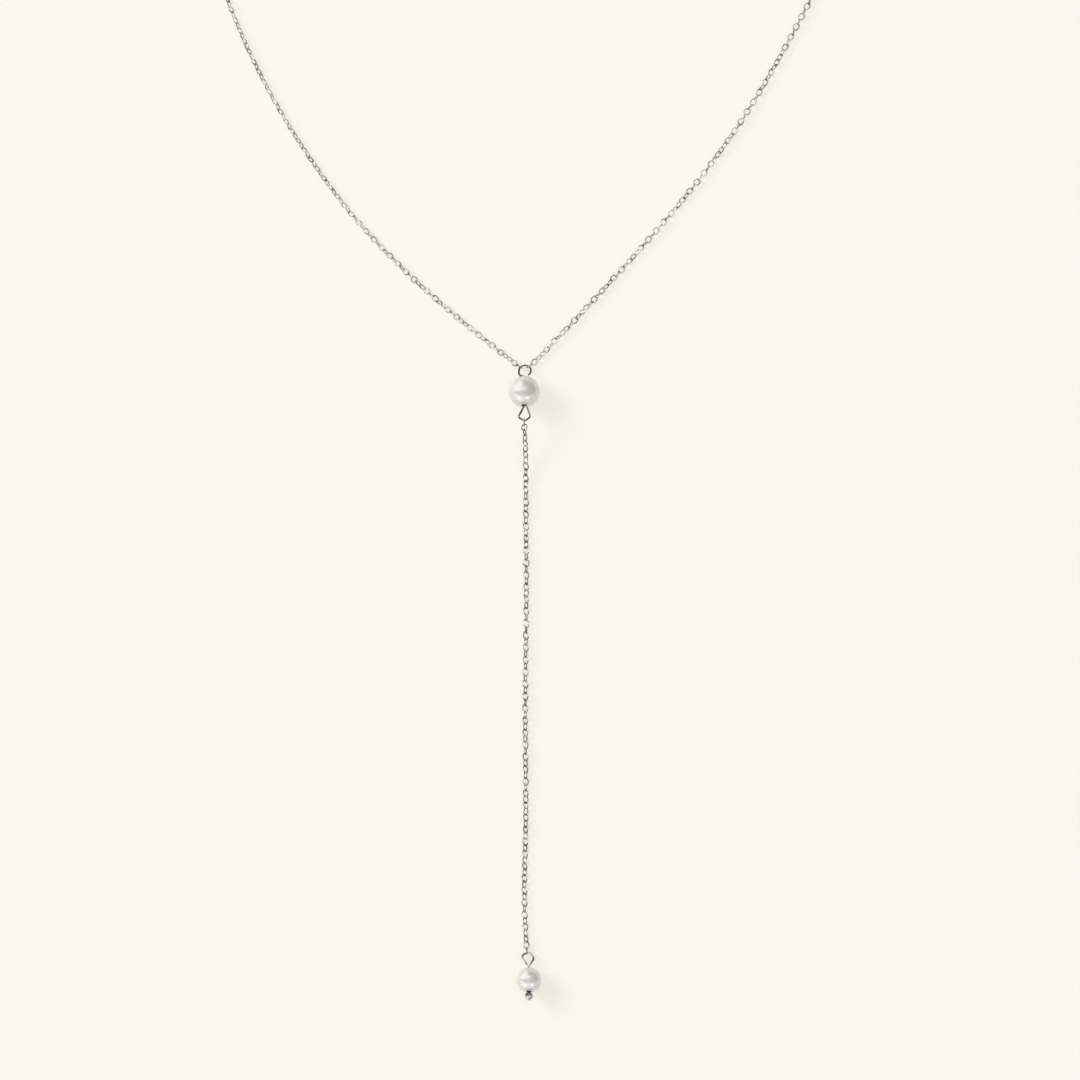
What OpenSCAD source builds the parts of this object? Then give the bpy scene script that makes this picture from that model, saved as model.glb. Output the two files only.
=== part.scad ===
// Pearl drop necklace, lying flat on a table and seen from above.
// X is to the right, Y runs up towards the clasp and Z is up off the table.
// The origin is the middle of the whole necklace, on the table.
// All sizes are in millimetres and all angles in degrees.

/* [Pearls] */
// Diameter of the pearl where the three chains meet
junction_pearl_d = 6; // [5.4:0.1:6.2]
// Diameter of the pearl at the foot of the drop
end_pearl_d = 4.8; // [4.4:0.1:5]
// Diameter of the hole drilled through each pearl
drill_d = 1; // [0.8:0.05:1.2]

/* [Pins] */
// Diameter of the wire that both pins are bent from
wire_d = 0.4; // [0.3:0.05:0.45]
// How far the junction pin tips, its lower eye up
junction_tilt = 25; // [20:1:26]
// How far the end pin tips, its ball up
end_tilt = 19; // [14:1:20]
// Diameter of the ball at the foot of the end pin
ball_d = 1.7; // [1.4:0.1:1.9]
// From the middle of the end pearl to the middle of the ball
ball_reach = 3.25; // [3.1:0.05:3.5]

/* [Chain] */
// Width and height of the chain as one solid run
chain_w = 1.3; // [1.1:0.05:1.3]
// Length of one link of the neck chain
neck_link_l = 1.64; // [1.6:0.01:1.8]
// Width of one link of the neck chain
neck_link_w = 1.26; // [1.2:0.01:1.3]
// Diameter of the neck links' wire
neck_link_wire_d = 0.24; // [0.2:0.01:0.26]
// Length of one link of the drop chain
drop_link_l = 1.74; // [1.7:0.01:1.8]
// Width of one link of the drop chain
drop_link_w = 1.3; // [1.25:0.01:1.35]
// Diameter of the drop links' wire
drop_link_wire_d = 0.26; // [0.24:0.01:0.28]

/* [Clasp] */
// Outer diameter of the clasp's ring
clasp_d = 5.5; // [5:0.1:6]
// Diameter of the clasp's round section
clasp_tube_d = 1.1; // [1:0.05:1.2]
// Diameter through the middle of the wire of the clasp's small eye
clasp_eye_d = 1.8; // [1.6:0.1:2]
// Diameter of the clasp's thumb knob
knob_d = 0.7; // [0.5:0.1:0.9]
// How far the knob stands out from the clasp's round section
knob_reach = 0.5; // [0.3:0.1:0.8]
// Outer diameter of the ring that the clasp catches
end_ring_d = 3.8; // [3.6:0.1:4]
// Diameter of the wire of that ring
end_ring_wire_d = 0.5; // [0.4:0.05:0.5]
// How steeply that ring leans, as it stands round the clasp
end_ring_lean = 60; // [55:1:75]

/* [Hidden] */
$fn = 48;

silver = [0.78, 0.78, 0.80];
nacre = [0.93, 0.92, 0.90];

// A link's length, width and wire
neck_link_size = [neck_link_l, neck_link_w, neck_link_wire_d];
drop_link_size = [drop_link_l, drop_link_w, drop_link_wire_d];

junction_r = junction_pearl_d / 2;
end_r = end_pearl_d / 2;
junction_at = [0, -29.5, junction_r];
end_pearl_at = [0.9, -141.1, end_r];

// A bent wire is a table of straight runs and the bend after each:
// length of the run, turn of the bend (left is positive), radius of the bend.
top_eye = [
    [junction_r - 0.05, 70, 0.3],
    [0.53, -70, 0.45],
    [0.58, -240, 1.14]
];
bottom_eye = [
    [junction_r - 0.07, 25, 0.3],
    [2.2, -82, 0.45],
    [0.74, -75, 0.5],
    [0.72, -66, 0.5],
    [1.86, 0, 0]
];
end_eye = [
    [end_r + 0.15, -32, 0.4],
    [1.3, 79, 0.85],
    [0.4, 74, 0.7],
    [0.55, 90, 0.5],
    [1.8, 0, 0]
];

// Each end link: middle x, y, z, heading round Z, nose up, roll about its length.
neck_link_left_at = [-0.97, -24.65, 0.82, 143, -2, 90];
neck_link_right_at = [1.08, -24.51, 0.76, 37, -2, 90];
drop_link_top_at = [0.03, -35.34, 5.42, -90, -35, 90];
drop_link_bottom_at = [0.52, -135.71, 0.68, 90, 0, 90];
clasp_link_at = [-4.46, 142.3, 0.68, 183, 0, 90];
ring_link_at = [4.54, 142.58, 1.6, -6, -20, -30];

// The chains' routes, as x, y, z from one end link to the other.
neck_route_left = [
    [-1.78, -24.05, 0.79], [-5.1, -21.5, 0.65], [-15.5, -13, 0.65],
    [-24.8, -4.4, 0.65], [-32.7, 4.1, 0.65], [-39.2, 12.7, 0.65],
    [-46.5, 24.1, 0.65], [-52.4, 35.5, 0.65], [-57.4, 48, 0.65],
    [-61.2, 63.5, 0.65], [-62.5, 80, 0.65], [-59.1, 100.3, 0.65],
    [-49.3, 118.5, 0.65], [-34, 132.4, 0.65], [-15.1, 140.5, 0.65],
    [-5.48, 142.22, 0.67]
];
neck_route_right = [
    [1.88, -23.9, 0.73], [4.7, -21, 0.65], [13.6, -11.6, 0.65],
    [22.7, -1.6, 0.65], [31.1, 8.2, 0.65], [38.8, 18.4, 0.65],
    [45.2, 28.3, 0.65], [51.2, 39, 0.65], [56.6, 49.7, 0.65],
    [61, 64, 0.65], [62.5, 80, 0.65], [59.1, 100.3, 0.65],
    [49.3, 118.5, 0.65], [34, 132.4, 0.65], [17, 140, 0.65],
    [9.4, 141.9, 0.65], [5.48, 142.47, 1.26]
];
drop_route = [
    [0.05, -36.16, 4.85], [0.2, -39, 3.2], [0.3, -43, 1.7],
    [0.3, -49, 0.75], [0.4, -66, 0.65], [0.2, -90, 0.65],
    [0.3, -109, 0.65], [0.2, -131, 0.65], [0.45, -134.7, 0.68]
];
// Rings of the solid run between one route point and the next
rings_per_leg = 2;
chain_sides = 8;

clasp_ring_r = (clasp_d - clasp_tube_d) / 2;
end_ring_r = (end_ring_d - end_ring_wire_d) / 2;
// The ring that the clasp catches passes under it, so that side is lifted
catch_gap = 0.1;
clasp_lift = end_ring_wire_d + catch_gap;
clasp_tip = asin(clasp_lift / (2 * clasp_ring_r));
clasp_x = 0.2;
clasp_y = 142.3;
clasp_at = [clasp_x, clasp_y, (clasp_tube_d + clasp_lift) / 2];
// From the outside of the clasp's ring to the middle of its eye
clasp_eye_reach = 0.7;
clasp_eye_at = [clasp_x - clasp_d / 2 - clasp_eye_reach, clasp_y, chain_w / 2];
// Where the knob stands round the clasp's ring, from +X
knob_turn = 225;
end_ring_at = [2.68, 142.6, end_ring_r * sin(end_ring_lean) + end_ring_wire_d / 2];

// A smooth line through a route's points

function leg(route, i) = norm(route[i + 1] - route[i]);

function slope_at(route, i) =
    i == 0 ? (route[1] - route[0]) / leg(route, 0)
    : i == len(route) - 1 ? (route[i] - route[i - 1]) / leg(route, i - 1)
    : ((route[i] - route[i - 1]) * leg(route, i) / leg(route, i - 1)
        + (route[i + 1] - route[i]) * leg(route, i - 1) / leg(route, i))
        / (leg(route, i - 1) + leg(route, i));

function between(route, i, t) =
    (2 * pow(t, 3) - 3 * pow(t, 2) + 1) * route[i]
    + (pow(t, 3) - 2 * pow(t, 2) + t) * leg(route, i) * slope_at(route, i)
    + (3 * pow(t, 2) - 2 * pow(t, 3)) * route[i + 1]
    + (pow(t, 3) - pow(t, 2)) * leg(route, i) * slope_at(route, i + 1);

// Nowhere is the line lower than a chain that lies on the table
function smooth_line(route) = [
    for (i = [0 : len(route) - 2], k = [0 : rings_per_leg - 1])
        let (p = between(route, i, k / rings_per_leg))
        [p[0], p[1], max(p[2], chain_w / 2)],
    route[len(route) - 1]
];

// The chain as one solid run: a ring of corners round each point of its line

function heading_at(line, i) =
    let (d = line[min(i + 1, len(line) - 1)] - line[max(i - 1, 0)])
    d / norm(d);

function ring_at(line, i) =
    let (
        ahead = heading_at(line, i),
        across = cross(ahead, [0, 0, 1]) / norm(cross(ahead, [0, 0, 1])),
        up = cross(across, ahead),
        corner_r = chain_w / 2 / cos(180 / chain_sides)
    )
    [for (k = [0 : chain_sides - 1])
        let (a = (k + 0.5) * 360 / chain_sides)
        line[i] + corner_r * (cos(a) * across + sin(a) * up)];

module chain_run(route) {
    line = smooth_line(route);
    last = len(line) - 1;
    corners = [for (i = [0 : last]) each ring_at(line, i)];
    walls = [for (i = [0 : last - 1], k = [0 : chain_sides - 1])
        let (a = i * chain_sides + k, b = i * chain_sides + (k + 1) % chain_sides)
        each [[a, b, b + chain_sides], [a, b + chain_sides, a + chain_sides]]];
    first_cap = [for (k = [chain_sides - 1 : -1 : 0]) k];
    last_cap = [for (k = [0 : chain_sides - 1]) last * chain_sides + k];
    polyhedron(points = corners, faces = concat([first_cap], walls, [last_cap]));
}

// Wire, bent in the XY plane from the origin and off along +Y, with a ball in each joint
module bent_wire(bends, i = 0) {
    if (i < len(bends)) {
        run = bends[i][0];
        turn = bends[i][1];
        bend_r = bends[i][2];
        side = sign(turn);
        rotate([-90, 0, 0])
            cylinder(d = wire_d, h = run);
        if (i > 0) sphere(d = wire_d);
        translate([0, run, 0]) {
            if (turn > 0)
                translate([-bend_r, 0, 0])
                    rotate_extrude(angle = turn)
                        translate([bend_r, 0]) circle(d = wire_d);
            if (turn < 0)
                mirror([1, 0, 0])
                    translate([-bend_r, 0, 0])
                        rotate_extrude(angle = -turn)
                            translate([bend_r, 0]) circle(d = wire_d);
            translate([-side * bend_r, 0, 0])
                rotate([0, 0, turn])
                    translate([side * bend_r, 0, 0])
                        bent_wire(bends, i + 1);
        }
    }
}

module wire_ring(ring_d, section_d) {
    rotate_extrude()
        translate([ring_d / 2, 0]) circle(d = section_d);
}

module chain_link(size, at) {
    link_wire_d = size[2];
    bow_d = size[1] - link_wire_d;
    side_l = size[0] - size[1];
    color(silver)
        translate([at[0], at[1], at[2]])
            rotate([at[5], -at[4], at[3]])
                for (turn = [0, 180])
                    rotate([0, 0, turn]) {
                        translate([side_l / 2, 0, 0])
                            rotate([0, 0, -90])
                                rotate_extrude(angle = 180)
                                    translate([bow_d / 2, 0]) circle(d = link_wire_d);
                        translate([-side_l / 2, bow_d / 2, 0])
                            rotate([0, 90, 0])
                                cylinder(d = link_wire_d, h = side_l);
                    }
}

module drilled_pearl(pearl_d, at, tilt) {
    color(nacre)
        translate(at)
            rotate([-tilt, 0, 0])
                difference() {
                    sphere(d = pearl_d);
                    rotate([90, 0, 0])
                        cylinder(d = drill_d, h = 2 * pearl_d, center = true);
                }
}

module neck_chain_left() color(silver) chain_run(neck_route_left);
module neck_chain_right() color(silver) chain_run(neck_route_right);
module drop_chain() color(silver) chain_run(drop_route);

module neck_link_left() chain_link(neck_link_size, neck_link_left_at);
module neck_link_right() chain_link(neck_link_size, neck_link_right_at);
module drop_link_top() chain_link(drop_link_size, drop_link_top_at);
module drop_link_bottom() chain_link(drop_link_size, drop_link_bottom_at);
module clasp_link() chain_link(neck_link_size, clasp_link_at);
module ring_link() chain_link(neck_link_size, ring_link_at);

module junction_pearl() drilled_pearl(junction_pearl_d, junction_at, junction_tilt);
module end_pearl() drilled_pearl(end_pearl_d, end_pearl_at, end_tilt);

module junction_pin() {
    color(silver)
        translate(junction_at)
            rotate([-junction_tilt, 0, 0]) {
                bent_wire(top_eye);
                mirror([0, 1, 0]) bent_wire(bottom_eye);
            }
}

module end_pin() {
    color(silver)
        translate(end_pearl_at)
            rotate([-end_tilt, 0, 0]) {
                bent_wire(end_eye);
                rotate([90, 0, 0]) cylinder(d = wire_d, h = ball_reach);
                translate([0, -ball_reach, 0]) sphere(d = ball_d);
            }
}

module clasp() {
    color(silver) {
        translate(clasp_at)
            rotate([0, -clasp_tip, 0]) {
                wire_ring(2 * clasp_ring_r, clasp_tube_d);
                rotate([0, 0, knob_turn])
                    translate([clasp_ring_r, 0, 0])
                        rotate([0, 90, 0]) cylinder(d = knob_d, h = clasp_tube_d / 2 + knob_reach);
            }
        translate(clasp_eye_at)
            wire_ring(clasp_eye_d, wire_d);
    }
}

module end_ring() {
    color(silver)
        translate(end_ring_at)
            rotate([end_ring_lean, 0, 0])
                wire_ring(2 * end_ring_r, end_ring_wire_d);
}

neck_chain_left();
neck_chain_right();
drop_chain();
neck_link_left();
neck_link_right();
drop_link_top();
drop_link_bottom();
clasp_link();
ring_link();
junction_pin();
junction_pearl();
end_pin();
end_pearl();
clasp();
end_ring();
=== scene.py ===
import math
import random

import bpy
from mathutils import Matrix, Vector


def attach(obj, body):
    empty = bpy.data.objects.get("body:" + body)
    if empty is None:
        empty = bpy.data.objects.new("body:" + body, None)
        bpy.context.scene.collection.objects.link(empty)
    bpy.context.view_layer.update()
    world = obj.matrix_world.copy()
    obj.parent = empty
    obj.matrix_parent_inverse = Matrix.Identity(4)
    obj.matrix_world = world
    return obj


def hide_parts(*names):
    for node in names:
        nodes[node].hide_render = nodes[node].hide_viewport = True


mm = 0.001
tiny = 0.000001                # m, for comparing two places
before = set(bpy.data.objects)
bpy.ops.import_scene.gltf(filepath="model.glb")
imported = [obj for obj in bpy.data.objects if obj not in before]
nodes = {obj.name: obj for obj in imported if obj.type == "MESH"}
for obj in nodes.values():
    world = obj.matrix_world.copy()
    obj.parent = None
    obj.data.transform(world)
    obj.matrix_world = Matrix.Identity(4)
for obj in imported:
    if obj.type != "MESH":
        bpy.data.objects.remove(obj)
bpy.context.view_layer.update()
print("frame loaded:", len(nodes), "nodes")


def deselectAll():
    if bpy.context.mode != "OBJECT":
        bpy.ops.object.mode_set(mode="OBJECT")
    bpy.ops.object.select_all(action="DESELECT")


def selectVerts(piece, wanted):
    bpy.ops.object.mode_set(mode="EDIT")
    bpy.ops.mesh.select_mode(type="VERT")
    bpy.ops.mesh.select_all(action="DESELECT")
    bpy.ops.object.mode_set(mode="OBJECT")
    for vert in piece.data.vertices:
        vert.select = wanted(vert.co)
    bpy.ops.object.mode_set(mode="EDIT")


def applyPlace(piece):
    deselectAll()
    piece.select_set(True)
    bpy.context.view_layer.objects.active = piece
    bpy.ops.object.transform_apply(location=True, rotation=True, scale=True)


def newMaterial(name):
    material = bpy.data.materials.new(name)
    material.use_nodes = True
    tree = material.node_tree
    return material, tree, tree.nodes["Principled BSDF"]


def setSockets(shader, values):
    for name, value in values.items():
        shader.inputs[name].default_value = value


def addNoise(tree, coords, values):
    noise = tree.nodes.new("ShaderNodeTexNoise")
    setSockets(noise, values)
    tree.links.new(coords, noise.inputs["Vector"])
    return noise.outputs["Fac"]


def addTones(tree, noise, shader, tones):
    # base colour: one tone below the first edge of the noise, the other above the second
    ramp = tree.nodes.new("ShaderNodeValToRGB")
    for stop, (edge, colour) in zip(ramp.color_ramp.elements, tones):
        stop.position = edge
        stop.color = colour
    tree.links.new(noise, ramp.inputs["Fac"])
    tree.links.new(ramp.outputs["Color"], shader.inputs["Base Color"])


def addBump(tree, noise, shader, depth):
    bump = tree.nodes.new("ShaderNodeBump")
    setSockets(bump, {"Strength": depth["strength"], "Distance": depth["distance"]})
    tree.links.new(noise, bump.inputs["Height"])
    tree.links.new(bump.outputs["Normal"], shader.inputs["Normal"])


# Camera: straight above the drop and far off, so the picture has almost no perspective

camera = {
    "above": (3.0, -57.64),    # mm, the middle of the picture on the table
    "height": 1500,            # mm
    "pictureWidth": 205.2,     # mm of table from side to side
    "sensor": 36,              # mm
}

bpy.ops.object.camera_add(location=Vector((*camera["above"], camera["height"])) * mm, rotation=(0, 0, 0))
topCamera = bpy.context.object
topCamera.name = "top_camera"
topCamera.data.sensor_width = camera["sensor"]
topCamera.data.lens = camera["sensor"] * camera["height"] / camera["pictureWidth"]
bpy.context.scene.camera = topCamera
print("camera placed")


# Metal: fine polished silver, with duller patches and faint rubbing marks

metal = {
    "tones": [(0.4, (0.22, 0.215, 0.205, 1)), (0.57, (0.9, 0.895, 0.89, 1))],   # dull, bright
    "patches": {"Scale": 900, "Detail": 4, "Roughness": 0.6},                  # per metre
    "gloss": {"From Min": 0.35, "From Max": 0.65, "To Min": 0.30, "To Max": 0.14},
    "marks": {"Scale": 5200, "Detail": 3, "Roughness": 0.7},
    "marksRun": {"Scale": (1, 0.25, 0.25), "Rotation": (0.3, 0.5, 0.7)},        # long and askew
    "marksDepth": {"strength": 0.08, "distance": 0.00005},
}


def makeMetal(name, look):
    material, tree, shader = newMaterial(name)
    shader.inputs["Metallic"].default_value = 1
    coords = tree.nodes.new("ShaderNodeTexCoord")
    patches = addNoise(tree, coords.outputs["Object"], look["patches"])
    addTones(tree, patches, shader, look["tones"])
    gloss = tree.nodes.new("ShaderNodeMapRange")
    setSockets(gloss, look["gloss"])
    tree.links.new(patches, gloss.inputs["Value"])
    tree.links.new(gloss.outputs["Result"], shader.inputs["Roughness"])
    run = tree.nodes.new("ShaderNodeMapping")
    setSockets(run, look["marksRun"])
    tree.links.new(coords.outputs["Object"], run.inputs["Vector"])
    marks = addNoise(tree, run.outputs["Vector"], look["marks"])
    addBump(tree, marks, shader, look["marksDepth"])
    return material


silver = makeMetal("polished_silver", metal)
for name in ("neck_link_left", "neck_link_right", "drop_link_top", "drop_link_bottom",
             "clasp_link", "ring_link", "junction_pin", "end_pin", "clasp", "end_ring"):
    nodes[name].data.materials.clear()
    nodes[name].data.materials.append(silver)
print("metal made")


# Cable chain: one low link, copied along each route, every other one turned about a quarter

linkFaces = {"round": 12, "wire": 5}
linkOval = [(30, 0.45), (60, 0.33), (90, 0.22)]   # degrees off its length, part of its length gained

neckLink = {"length": 1.64, "width": 1.26, "wire": 0.22}   # mm, outside
dropLink = {"length": 1.74, "width": 1.3, "wire": 0.25}

lyingHeight = 0.65             # mm, how high a route runs where its chain lies on the table
stillLinks = 6                 # links at each end that keep more and more to the route
routeSteps = 24                # from one point of a route to the next

leftChain = {
    "node": "neck_chain_left",
    "link": neckLink,
    "links": 204,
    # part of the route, degrees that the first of two links is rolled, and the next one more
    "rolls": [(0, 90, 90), (0.125, 550, 90), (0.22, 595, 70), (0.95, 595, 70), (1, 630, 90)],
    "wobble": 4,               # degrees that a link rolls further by chance
    "steady": 0.8,             # how much of that roll the next link keeps
    "slant": 0,                # degrees that every link is turned off the route
    "zigzag": 7,               # degrees to the left and right in turn
    "sway": 4,                 # degrees by chance
    "seed": 11,
    "route": [                 # mm, from one end link's middle to the other's
        (-0.97, -24.65, 0.82),
        (-1.78, -24.05, 0.79), (-5.1, -21.5, 0.65), (-15.5, -13, 0.65), (-24.8, -4.4, 0.65),
        (-32.7, 4.1, 0.65), (-39.2, 12.7, 0.65), (-46.5, 24.1, 0.65), (-52.4, 35.5, 0.65),
        (-57.4, 48, 0.65), (-61.2, 63.5, 0.65), (-62.5, 80, 0.65), (-59.1, 100.3, 0.65),
        (-49.3, 118.5, 0.65), (-34, 132.4, 0.65), (-15.1, 140.5, 0.65), (-5.48, 142.22, 0.67),
        (-4.46, 142.3, 0.68),
    ],
}

rightChain = {
    "node": "neck_chain_right",
    "link": neckLink,
    "links": 199,
    "rolls": [(0, 90, 90), (0.123, 490, 90), (0.247, 665, 90), (0.37, 805, 90),
              (0.95, 805, 90), (1, 815, 90)],
    "wobble": 10,
    "steady": 0.8,
    "slant": 0,
    "zigzag": 7,
    "sway": 5,
    "seed": 23,
    "route": [
        (1.08, -24.51, 0.76),
        (1.88, -23.9, 0.73), (4.7, -21, 0.65), (13.6, -11.6, 0.65), (22.7, -1.6, 0.65),
        (31.1, 8.2, 0.65), (38.8, 18.4, 0.65), (45.2, 28.3, 0.65), (51.2, 39, 0.65),
        (56.6, 49.7, 0.65), (61, 64, 0.65), (62.5, 80, 0.65), (59.1, 100.3, 0.65),
        (49.3, 118.5, 0.65), (34, 132.4, 0.65), (17, 140, 0.65), (9.4, 141.9, 0.65),
        (5.48, 142.47, 1.26),
        (4.54, 142.58, 1.6),
    ],
}

dropChain = {
    "node": "drop_chain",
    "link": dropLink,
    "links": 88,
    "rolls": [(0, 90, 90), (0.03, 50, 90), (0.06, 35, 90), (0.97, 35, 90), (1, 90, 90)],
    "wobble": 14,
    "steady": 0.7,
    "slant": 7,
    "zigzag": 5,
    "sway": 4,
    "seed": 5,
    "route": [
        (0.03, -35.34, 5.42),
        (0.05, -36.16, 4.85), (0.2, -39, 3.2), (0.3, -43, 1.7), (0.3, -49, 0.75),
        (0.4, -66, 0.65), (0.2, -90, 0.65), (0.3, -109, 0.65), (0.2, -131, 0.65),
        (0.45, -134.7, 0.68),
        (0.52, -135.71, 0.68),
    ],
}


def makeLink(size):
    bow = (size["width"] - size["wire"]) / 2 * mm
    longer = (size["length"] - size["width"]) / 2 * mm
    halfFace = math.pi / linkFaces["round"]
    deselectAll()
    bpy.ops.mesh.primitive_torus_add(
        major_radius=bow, minor_radius=size["wire"] / 2 * mm,
        major_segments=linkFaces["round"], minor_segments=linkFaces["wire"],
        rotation=(0, 0, halfFace))
    link = bpy.context.object
    bpy.ops.object.transform_apply(rotation=True)
    for side in (1, -1):
        for within, part in linkOval:
            selectVerts(link, lambda co: math.atan2(abs(co.y), co.x * side) < math.radians(within))
            bpy.ops.transform.translate(value=(side * longer * part, 0, 0))
    bpy.ops.object.mode_set(mode="OBJECT")
    bpy.ops.object.shade_smooth()
    link.data.materials.append(silver)
    return link


def smoothRoute(points):
    # a smooth line through the points: each leg leaves and arrives along its corner's slope
    points = [Vector(point) for point in points]
    legs = [(b - a).length for a, b in zip(points, points[1:])]
    slopes = [(points[1] - points[0]) / legs[0]]
    for i in range(1, len(points) - 1):
        back, ahead = points[i] - points[i - 1], points[i + 1] - points[i]
        slopes.append((back * legs[i] / legs[i - 1] + ahead * legs[i - 1] / legs[i])
                      / (legs[i - 1] + legs[i]))
    slopes.append((points[-1] - points[-2]) / legs[-1])
    line = []
    for i, leg in enumerate(legs):
        for k in range(routeSteps):
            t = k / routeSteps
            line.append((2 * t**3 - 3 * t**2 + 1) * points[i] + (t**3 - 2 * t**2 + t) * leg * slopes[i]
                        + (3 * t**2 - 2 * t**3) * points[i + 1] + (t**3 - t**2) * leg * slopes[i + 1])
    line.append(points[-1])
    return line


def evenPoints(line, count):
    # count + 1 points at one distance from each other along the line
    run = [0]
    for a, b in zip(line, line[1:]):
        run.append(run[-1] + (b - a).length)
    spots, i = [], 0
    for k in range(count + 1):
        want = run[-1] * k / count
        while i < len(line) - 2 and run[i + 1] < want:
            i += 1
        part = (want - run[i]) / (run[i + 1] - run[i])
        spots.append(line[i].lerp(line[i + 1], part))
    return spots


def rollAt(rolls, along):
    for (start, roll0, next0), (end, roll1, next1) in zip(rolls, rolls[1:]):
        if along <= end:
            part = (along - start) / (end - start)
            return roll0 + (roll1 - roll0) * part, next0 + (next1 - next0) * part
    return rolls[-1][1:]


def turnLinks(chain):
    # each link's roll about the route and lean off it, in radians
    rng = random.Random(chain["seed"])
    last = chain["links"]
    rolls, leans, drift = [], [], 0
    for k in range(last + 1):
        free = min(1, k / stillLinks, (last - k) / stillLinks)
        drift = drift * chain["steady"] + rng.uniform(-1, 1) * chain["wobble"]
        roll, nextRoll = rollAt(chain["rolls"], k / last)
        rolls.append(math.radians(roll + nextRoll * (k % 2) + drift * free))
        lean = chain["slant"] + (-1)**k * chain["zigzag"] + rng.uniform(-1, 1) * chain["sway"]
        leans.append(math.radians(lean * free))
    return rolls, leans


def makeChain(name, chain):
    size, last = chain["link"], chain["links"]
    bow = (size["width"] - size["wire"]) / 2
    master = makeLink(size)
    spots = evenPoints(smoothRoute(chain["route"]), last)
    rolls, leans = turnLinks(chain)
    heights = [bow * abs(math.sin(roll)) + size["wire"] / 2 for roll in rolls]
    copies = []
    for k in range(1, last):
        ahead = (spots[k + 1] - spots[k - 1]).normalized()
        ahead.rotate(Matrix.Rotation(leans[k], 3, "Z"))
        left = Vector((0, 0, 1)).cross(ahead).normalized()
        up = ahead.cross(left)
        turn = Matrix((ahead, left, up)).transposed().to_4x4() @ Matrix.Rotation(rolls[k], 4, "X")
        height = max(spots[k].z, lyingHeight) - lyingHeight + max(heights[k - 1:k + 2])
        place = Vector((spots[k].x, spots[k].y, height)) * mm
        link = master.copy()
        link.data = master.data.copy()
        link.data.transform(Matrix.Translation(place) @ turn)
        bpy.context.collection.objects.link(link)
        copies.append(link)
    bpy.data.objects.remove(master)
    deselectAll()
    for link in copies:
        link.select_set(True)
    bpy.context.view_layer.objects.active = copies[0]
    bpy.ops.object.join()
    piece = bpy.context.object
    piece.name = name
    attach(piece, "root")
    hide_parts(chain["node"])
    pitch = sum((b - a).length for a, b in zip(spots, spots[1:])) / last
    print(name, "made:", last - 1, "links,", round(pitch, 3), "mm apart")


makeChain("left_neck_links", leftChain)
makeChain("right_neck_links", rightChain)
makeChain("drop_links", dropChain)


# Pearls: nacre with a soft lustre, drilled through, the hole's edge slightly worn and the hole's inside
# painted near-black as shade

pearls = {
    "junction_pearl": {"diameter": 6, "at": (0, -29.5, 3), "tilt": 25},   # mm, degrees
    "end_pearl": {"diameter": 4.8, "at": (0.9, -141.1, 2.4), "tilt": 19},
}
pearlFaces = {"segments": 72, "ring_count": 64}
drill = {
    "radius": 0.5,             # mm
    "cleared": 1.3,            # radii round the pole where the ball's own faces go
    "edge": [(0.06, 0), (0.02, 0.015), (0, 0.06)],   # mm wider than the hole, mm deep
    "wallCuts": 6,
}
nacre = {
    "tones": [(0.35, (0.8, 0.765, 0.715, 1)), (0.65, (0.855, 0.83, 0.785, 1))],
    "clouds": {"Scale": 260, "Detail": 3, "Distortion": 0.6},   # per metre
    "grain": {"Scale": 900, "Detail": 2},
    "grainDepth": {"strength": 0.05, "distance": 0.0001},
    "lustre": {"Roughness": 0.28, "IOR": 1.8, "Specular IOR Level": 0.9, "Subsurface Weight": 0.15,
               "Subsurface Radius": (0.6, 0.5, 0.45), "Subsurface Scale": 0.0008, "Coat Weight": 1,
               "Coat Roughness": 0.15, "Coat IOR": 1.8},
}
# The bore's wall is painted shade: coloured near-black with a faint random speckle, so the inside of the
# hole reads dark as if in shadow
holeShade = {
    "tones": [(0, (0.01, 0.009, 0.008, 1)), (1, (0.03, 0.026, 0.022, 1))],
    "speckle": {"Scale": 4000},
    "dull": {"Roughness": 0.8, "Specular IOR Level": 0.1},
}


def makeNacre():
    material, tree, shader = newMaterial("pearl_nacre")
    setSockets(shader, nacre["lustre"])
    coords = tree.nodes.new("ShaderNodeTexCoord").outputs["Object"]
    addTones(tree, addNoise(tree, coords, nacre["clouds"]), shader, nacre["tones"])
    addBump(tree, addNoise(tree, coords, nacre["grain"]), shader, nacre["grainDepth"])
    return material


def makeHoleShade():
    material, tree, shader = newMaterial("drill_hole_painted_shade")
    setSockets(shader, holeShade["dull"])
    coords = tree.nodes.new("ShaderNodeTexCoord").outputs["Object"]
    addTones(tree, addNoise(tree, coords, holeShade["speckle"]), shader, holeShade["tones"])
    return material


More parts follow.
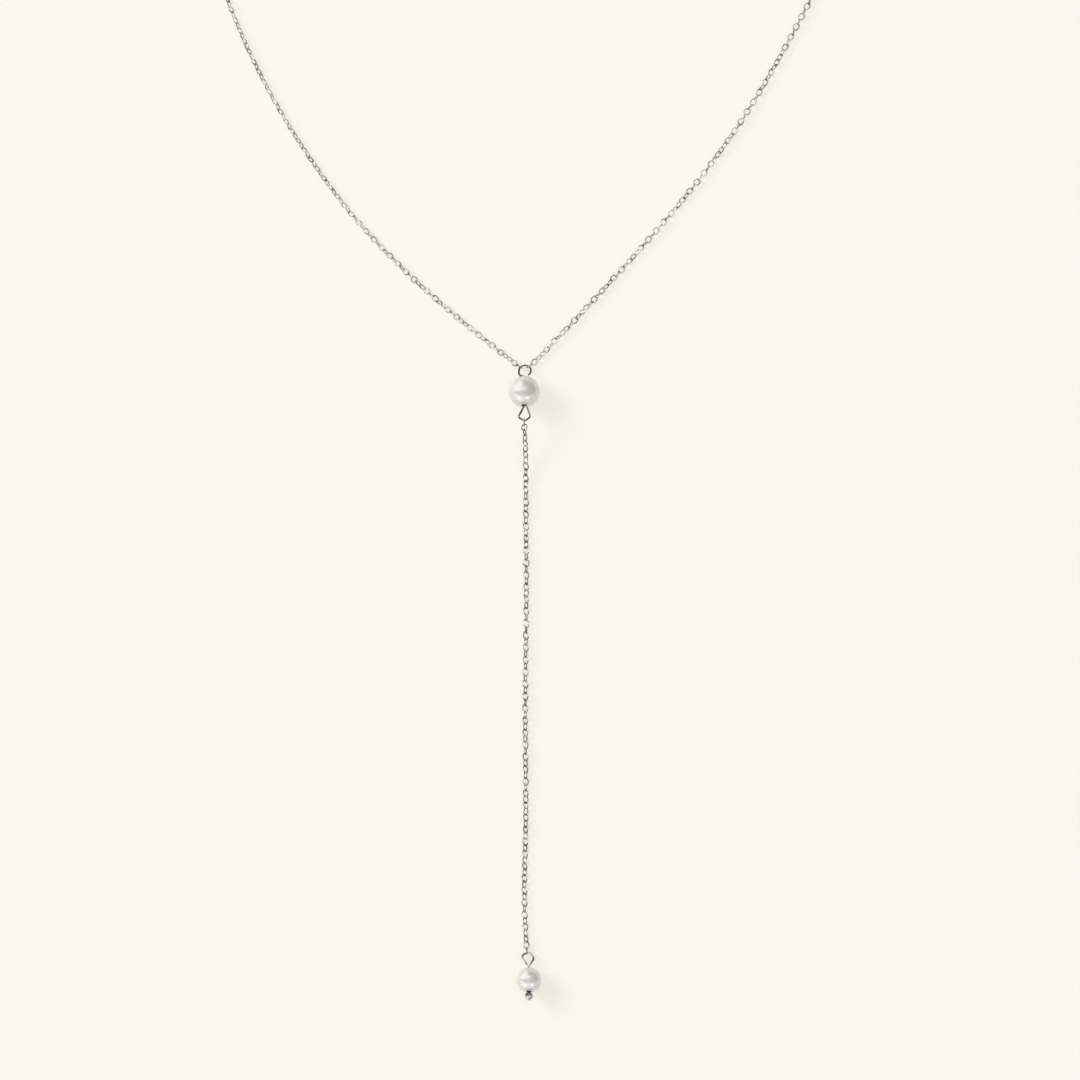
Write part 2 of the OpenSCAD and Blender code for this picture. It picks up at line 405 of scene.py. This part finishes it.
def makePearl(node, pearl, skin, hole):
    radius, bore = pearl["diameter"] / 2 * mm, drill["radius"] * mm
    deselectAll()
    bpy.ops.mesh.primitive_uv_sphere_add(radius=radius, **pearlFaces)
    piece = bpy.context.object
    piece.name = node + "_nacre"
    selectVerts(piece, lambda co: math.hypot(co.x, co.y) < bore * drill["cleared"])
    bpy.ops.mesh.delete(type="VERT")
    bpy.ops.object.mode_set(mode="OBJECT")
    for side in (1, -1):
        rim = max(vert.co.z * side for vert in piece.data.vertices)
        selectVerts(piece, lambda co: co.z * side > rim - tiny)
        onRim = next(vert.co for vert in piece.data.vertices if vert.co.z * side > rim - tiny)
        now = math.hypot(onRim.x, onRim.y)
        mouth = None
        for wider, deep in drill["edge"]:
            wide = bore + wider * mm
            if mouth is None:
                mouth = math.sqrt(radius**2 - wide**2)
            bpy.ops.mesh.extrude_region_move()
            bpy.ops.transform.resize(value=(wide / now, wide / now, 1), center_override=(0, 0, 0))
            bpy.ops.transform.translate(value=(0, 0, side * (mouth - deep * mm - rim)))
            now, rim = wide, mouth - deep * mm
        bpy.ops.object.mode_set(mode="OBJECT")
    selectVerts(piece, lambda co: math.hypot(co.x, co.y) < bore + tiny)
    bpy.ops.mesh.bridge_edge_loops(number_cuts=drill["wallCuts"])
    bpy.ops.mesh.select_all(action="SELECT")
    bpy.ops.mesh.normals_make_consistent(inside=False)
    bpy.ops.object.mode_set(mode="OBJECT")
    bpy.ops.object.shade_smooth()
    piece.data.materials.append(skin)
    piece.data.materials.append(hole)
    # faces inside the bore take the near-black painted shade
    for face in piece.data.polygons:
        if math.hypot(face.center.x, face.center.y) < bore:
            face.material_index = 1
    piece.rotation_euler = (-math.radians(90 + pearl["tilt"]), 0, 0)
    piece.location = Vector(pearl["at"]) * mm
    applyPlace(piece)
    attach(piece, "root")
    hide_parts(node)
    piece.visible_diffuse = False    # a pearl throws no glow onto the table


skin, hole = makeNacre(), makeHoleShade()
for node, pearl in pearls.items():
    makePearl(node, pearl, skin, hole)
print("pearls made")


# Table: a plain cream sheet that glows a little, so that shadows on it stay faint

table = {
    "side": 8,                 # m
    "look": {"Base Color": (0.6, 0.585, 0.54, 1), "Roughness": 0.9, "Specular IOR Level": 0.1,
             "Emission Color": (0.965, 0.939, 0.863, 1), "Emission Strength": 0.505},
}

deselectAll()
bpy.ops.mesh.primitive_plane_add(size=table["side"], location=(0, 0, 0))
sheet = bpy.context.object
sheet.name = "table"
material, tree, shader = newMaterial("cream_table")
setSockets(shader, table["look"])
sheet.data.materials.append(material)


# Light: a soft key from the left, an even fill, and panels that only light the pearls or the metal

suns = {
    # where it comes from, strength, angle in degrees, shadows, shows in gloss
    "key": ((-0.76, 0.4, 0.53), 1.2, 28, True, False),
    "fill": ((0.1, -0.2, 0.95), 1.0, 90, False, False),
    "sky": ((-0.1, 0.1, 0.95), 0.42, 120, True, False),
}

panels = {
    # middle in m, turns in degrees (None: faces the row), size in m, radiance, what it lights
    "north_panel": ((-2.05, 0.38, 0.34), (-48, 0, 0), (3.9, 0.81), 1.38, "pearls"),
    "south_west_panel": ((-2.0, -0.61, 0.31), (40, 0, 0), (4.0, 0.8), 1.3, "pearls"),
    "south_east_panel": ((2.0, -0.61, 0.31), (40, 0, 0), (4.0, 0.8), 0.9, "pearls"),
    "back_box": ((0.03, 0.46, 0.87), None, (0.45, 0.45), 1.1, "pearls"),
    "front_left_box": ((-0.542, -0.676, 0.5), None, (0.35, 0.35), 1.5, "pearls"),
    "front_right_box": ((0.412, -0.696, 0.588), None, (0.35, 0.35), 2.0, "pearls"),
    "drop_strip": ((0, 0, 1.0), (0, 0, 0), (2.4, 0.4), 2.0, "drop"),
    "neck_sky": ((-0.2, 0.1, 1.0), (0, 0, 0), (4.0, 4.0), 0.48, "neck"),
    "neck_west": ((-1.0, 0.1, 0.8), None, (0.5, 0.5), 3.2, "neck"),
    "neck_front": ((0, -0.95, 0.8), None, (0.5, 0.5), 3.4, "neck"),
    "top_pin_west": ((-1.0, 0.3, 0.7), None, (0.4, 0.4), 1.4, "top_pin"),
    "foot_pin_west": ((-1.0, -0.7, 0.6), None, (2.6, 1.2), 0.5, "foot_pin"),
    "foot_pin_sky": ((-0.1, 0.3, 1.0), (0, 0, 0), (3.0, 3.0), 0.45, "foot_pin"),
}
room = {"Color": (1.0, 0.99, 0.97, 1), "Strength": 0.15}
middle = Vector((0, -85, 0)) * mm    # the row of panels stands round this point

groups = {
    "pearls": ("junction_pearl_nacre", "end_pearl_nacre"),
    "drop": ("drop_links",),
    "neck": ("left_neck_links", "right_neck_links", "neck_link_left", "neck_link_right",
             "clasp_link", "ring_link", "clasp", "end_ring"),
    "top_pin": ("junction_pin",),
    "foot_pin": ("end_pin",),
}
litBy = {}
for group, pieces in groups.items():
    litBy[group] = bpy.data.collections.new(group + "_pieces")
    for piece in pieces:
        litBy[group].objects.link(bpy.data.objects[piece])

for name, (source, strength, angle, shadows, glossy) in suns.items():
    bpy.ops.object.light_add(type="SUN", location=Vector(source))
    lamp = bpy.context.object
    lamp.name = name
    lamp.rotation_euler = Vector(source).to_track_quat("Z", "Y").to_euler()
    lamp.data.energy = strength
    lamp.data.angle = math.radians(angle)
    lamp.data.use_shadow = shadows
    lamp.visible_glossy = glossy

for name, (place, turn, size, radiance, group) in panels.items():
    place = Vector(place)
    bpy.ops.object.light_add(type="AREA", location=middle + place)
    lamp = bpy.context.object
    lamp.name = name
    if turn is None:
        lamp.rotation_euler = place.to_track_quat("Z", "Y").to_euler()
        lamp.data.shape = "ELLIPSE"
    else:
        lamp.rotation_euler = [math.radians(angle) for angle in turn]
        lamp.data.shape = "RECTANGLE"
    lamp.data.size, lamp.data.size_y = size
    lamp.data.energy = radiance * math.pi * size[0] * size[1]
    lamp.visible_camera = False
    lamp.visible_diffuse = False
    lamp.light_linking.receiver_collection = litBy[group]

world = bpy.data.worlds.new("room")
world.use_nodes = True
bpy.context.scene.world = world
setSockets(world.node_tree.nodes["Background"], room)
bpy.context.scene.view_settings.view_transform = "Standard"
print("table and lights placed")
